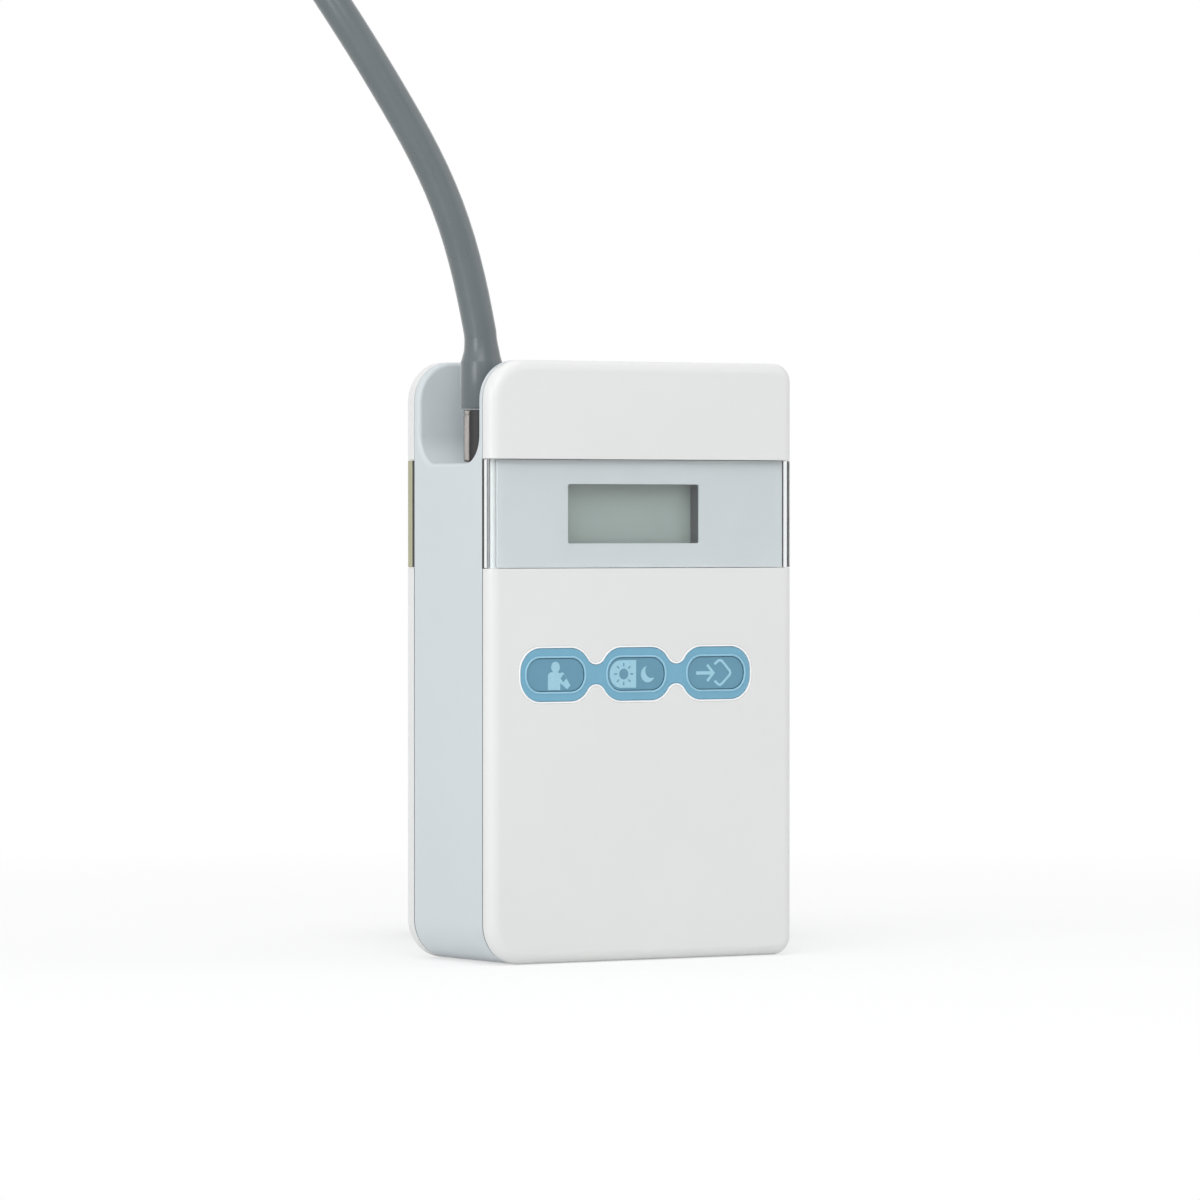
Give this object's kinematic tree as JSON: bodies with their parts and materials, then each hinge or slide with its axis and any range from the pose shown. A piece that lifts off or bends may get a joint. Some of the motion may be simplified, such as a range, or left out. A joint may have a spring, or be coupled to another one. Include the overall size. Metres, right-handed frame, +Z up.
{
  "type": "ambulatory blood pressure monitor",
  "caption": "Body-worn blood pressure monitor: moulded case with a clear wrap window, soft keys, a sliding battery door and a coiled air hose plugged into a corner scoop.",
  "frame": {"origin": "middle of the case's underside, on the surface it stands on", "axes": "+Z up the case, -Y out of the display and keys, +X to the right seen from the front"},
  "size_m": [0.1469, 0.1269, 0.2369],
  "materials": {
    "white_case": "satin",
    "pale_band": "satin",
    "clear_window": "polished clear plastic",
    "rear_window": "tinted clear plastic",
    "display_panel": "satin",
    "dark_plastic": "fine texture",
    "display_glass": "gloss",
    "contact_rubber": "matt",
    "keypad_blue": "satin silicone",
    "key_blue": "satin silicone",
    "board_green": "solder mask",
    "black_plastic": "matt",
    "steel": "zinc plated",
    "nickel": "nickel plated",
    "grey_plastic": "satin",
    "cell_sleeve": "gloss sleeve",
    "block_plastic": "matt",
    "silicone": "soft tube",
    "seal_rubber": "matt",
    "hose_grey": "satin",
    "tie_strap": "woven strap"
  },
  "bodies": {
    "case": {"front_shell": "white_case", "rear_shell": "white_case", "mid_frame": "pale_band", "front_window": "clear_window", "rear_window": "rear_window", "display_panel": "display_panel", "display_frame": "dark_plastic", "display_glass": "display_glass", "display_contact_upper": "contact_rubber", "display_contact_lower": "contact_rubber", "keypad_membrane": "keypad_blue", "main_board": "board_green", "key_switch_start": "black_plastic", "key_switch_day_night": "black_plastic", "key_switch_event": "black_plastic", "on_off_switch": "black_plastic", "main_chip": "black_plastic", "buzzer": "black_plastic", "exhaust_valve": "black_plastic", "safety_valve": "black_plastic", "pressure_sensor": "black_plastic", "data_insert": "black_plastic", "case_screw_1": "steel", "case_screw_2": "steel", "case_screw_3": "steel", "case_screw_4": "steel", "clock_cell": "steel", "pump_motor": "steel", "contact_bridge": "nickel", "contact_plus": "nickel", "contact_minus": "nickel", "hose_socket": "nickel", "socket_nut": "nickel", "data_socket": "nickel", "hose_plug": "nickel", "pump_head": "grey_plastic", "cuff_connector": "grey_plastic", "battery_lower": "cell_sleeve", "battery_upper": "cell_sleeve", "air_block": "block_plastic", "pump_tube": "silicone", "sensor_tube": "silicone", "socket_tube": "silicone", "socket_seal": "seal_rubber", "pump_mount_motor": "seal_rubber", "pump_mount_head": "seal_rubber", "air_hose": "hose_grey", "hose_coil": "hose_grey", "hose_boot": "hose_grey", "coil_tie": "tie_strap"},
    "key_start": {"key_start": "key_blue"},
    "key_day_night": {"key_day_night": "key_blue"},
    "key_event": {"key_event": "key_blue"},
    "on_off_button": {"on_off_button": "key_blue"},
    "battery_door": {"battery_door": "white_case"}
  },
  "joints": [
    {"name": "key_start_press", "type": "slide", "parent": "case", "child": "key_start", "axis": [0, 1, 0], "range_m": [0, 0.0005], "stiffness_N_per_m": 800},
    {"name": "key_day_night_press", "type": "slide", "parent": "case", "child": "key_day_night", "axis": [0, 1, 0], "range_m": [0, 0.0005], "stiffness_N_per_m": 800},
    {"name": "key_event_press", "type": "slide", "parent": "case", "child": "key_event", "axis": [0, 1, 0], "range_m": [0, 0.0005], "stiffness_N_per_m": 800},
    {"name": "on_off_button_press", "type": "slide", "parent": "case", "child": "on_off_button", "axis": [-1, 0, 0], "range_m": [0, 0.0006], "stiffness_N_per_m": 800},
    {"name": "battery_door_slide", "type": "slide", "parent": "case", "child": "battery_door", "axis": [0, 0, -1], "range_m": [0, 0.008]}
  ]
}
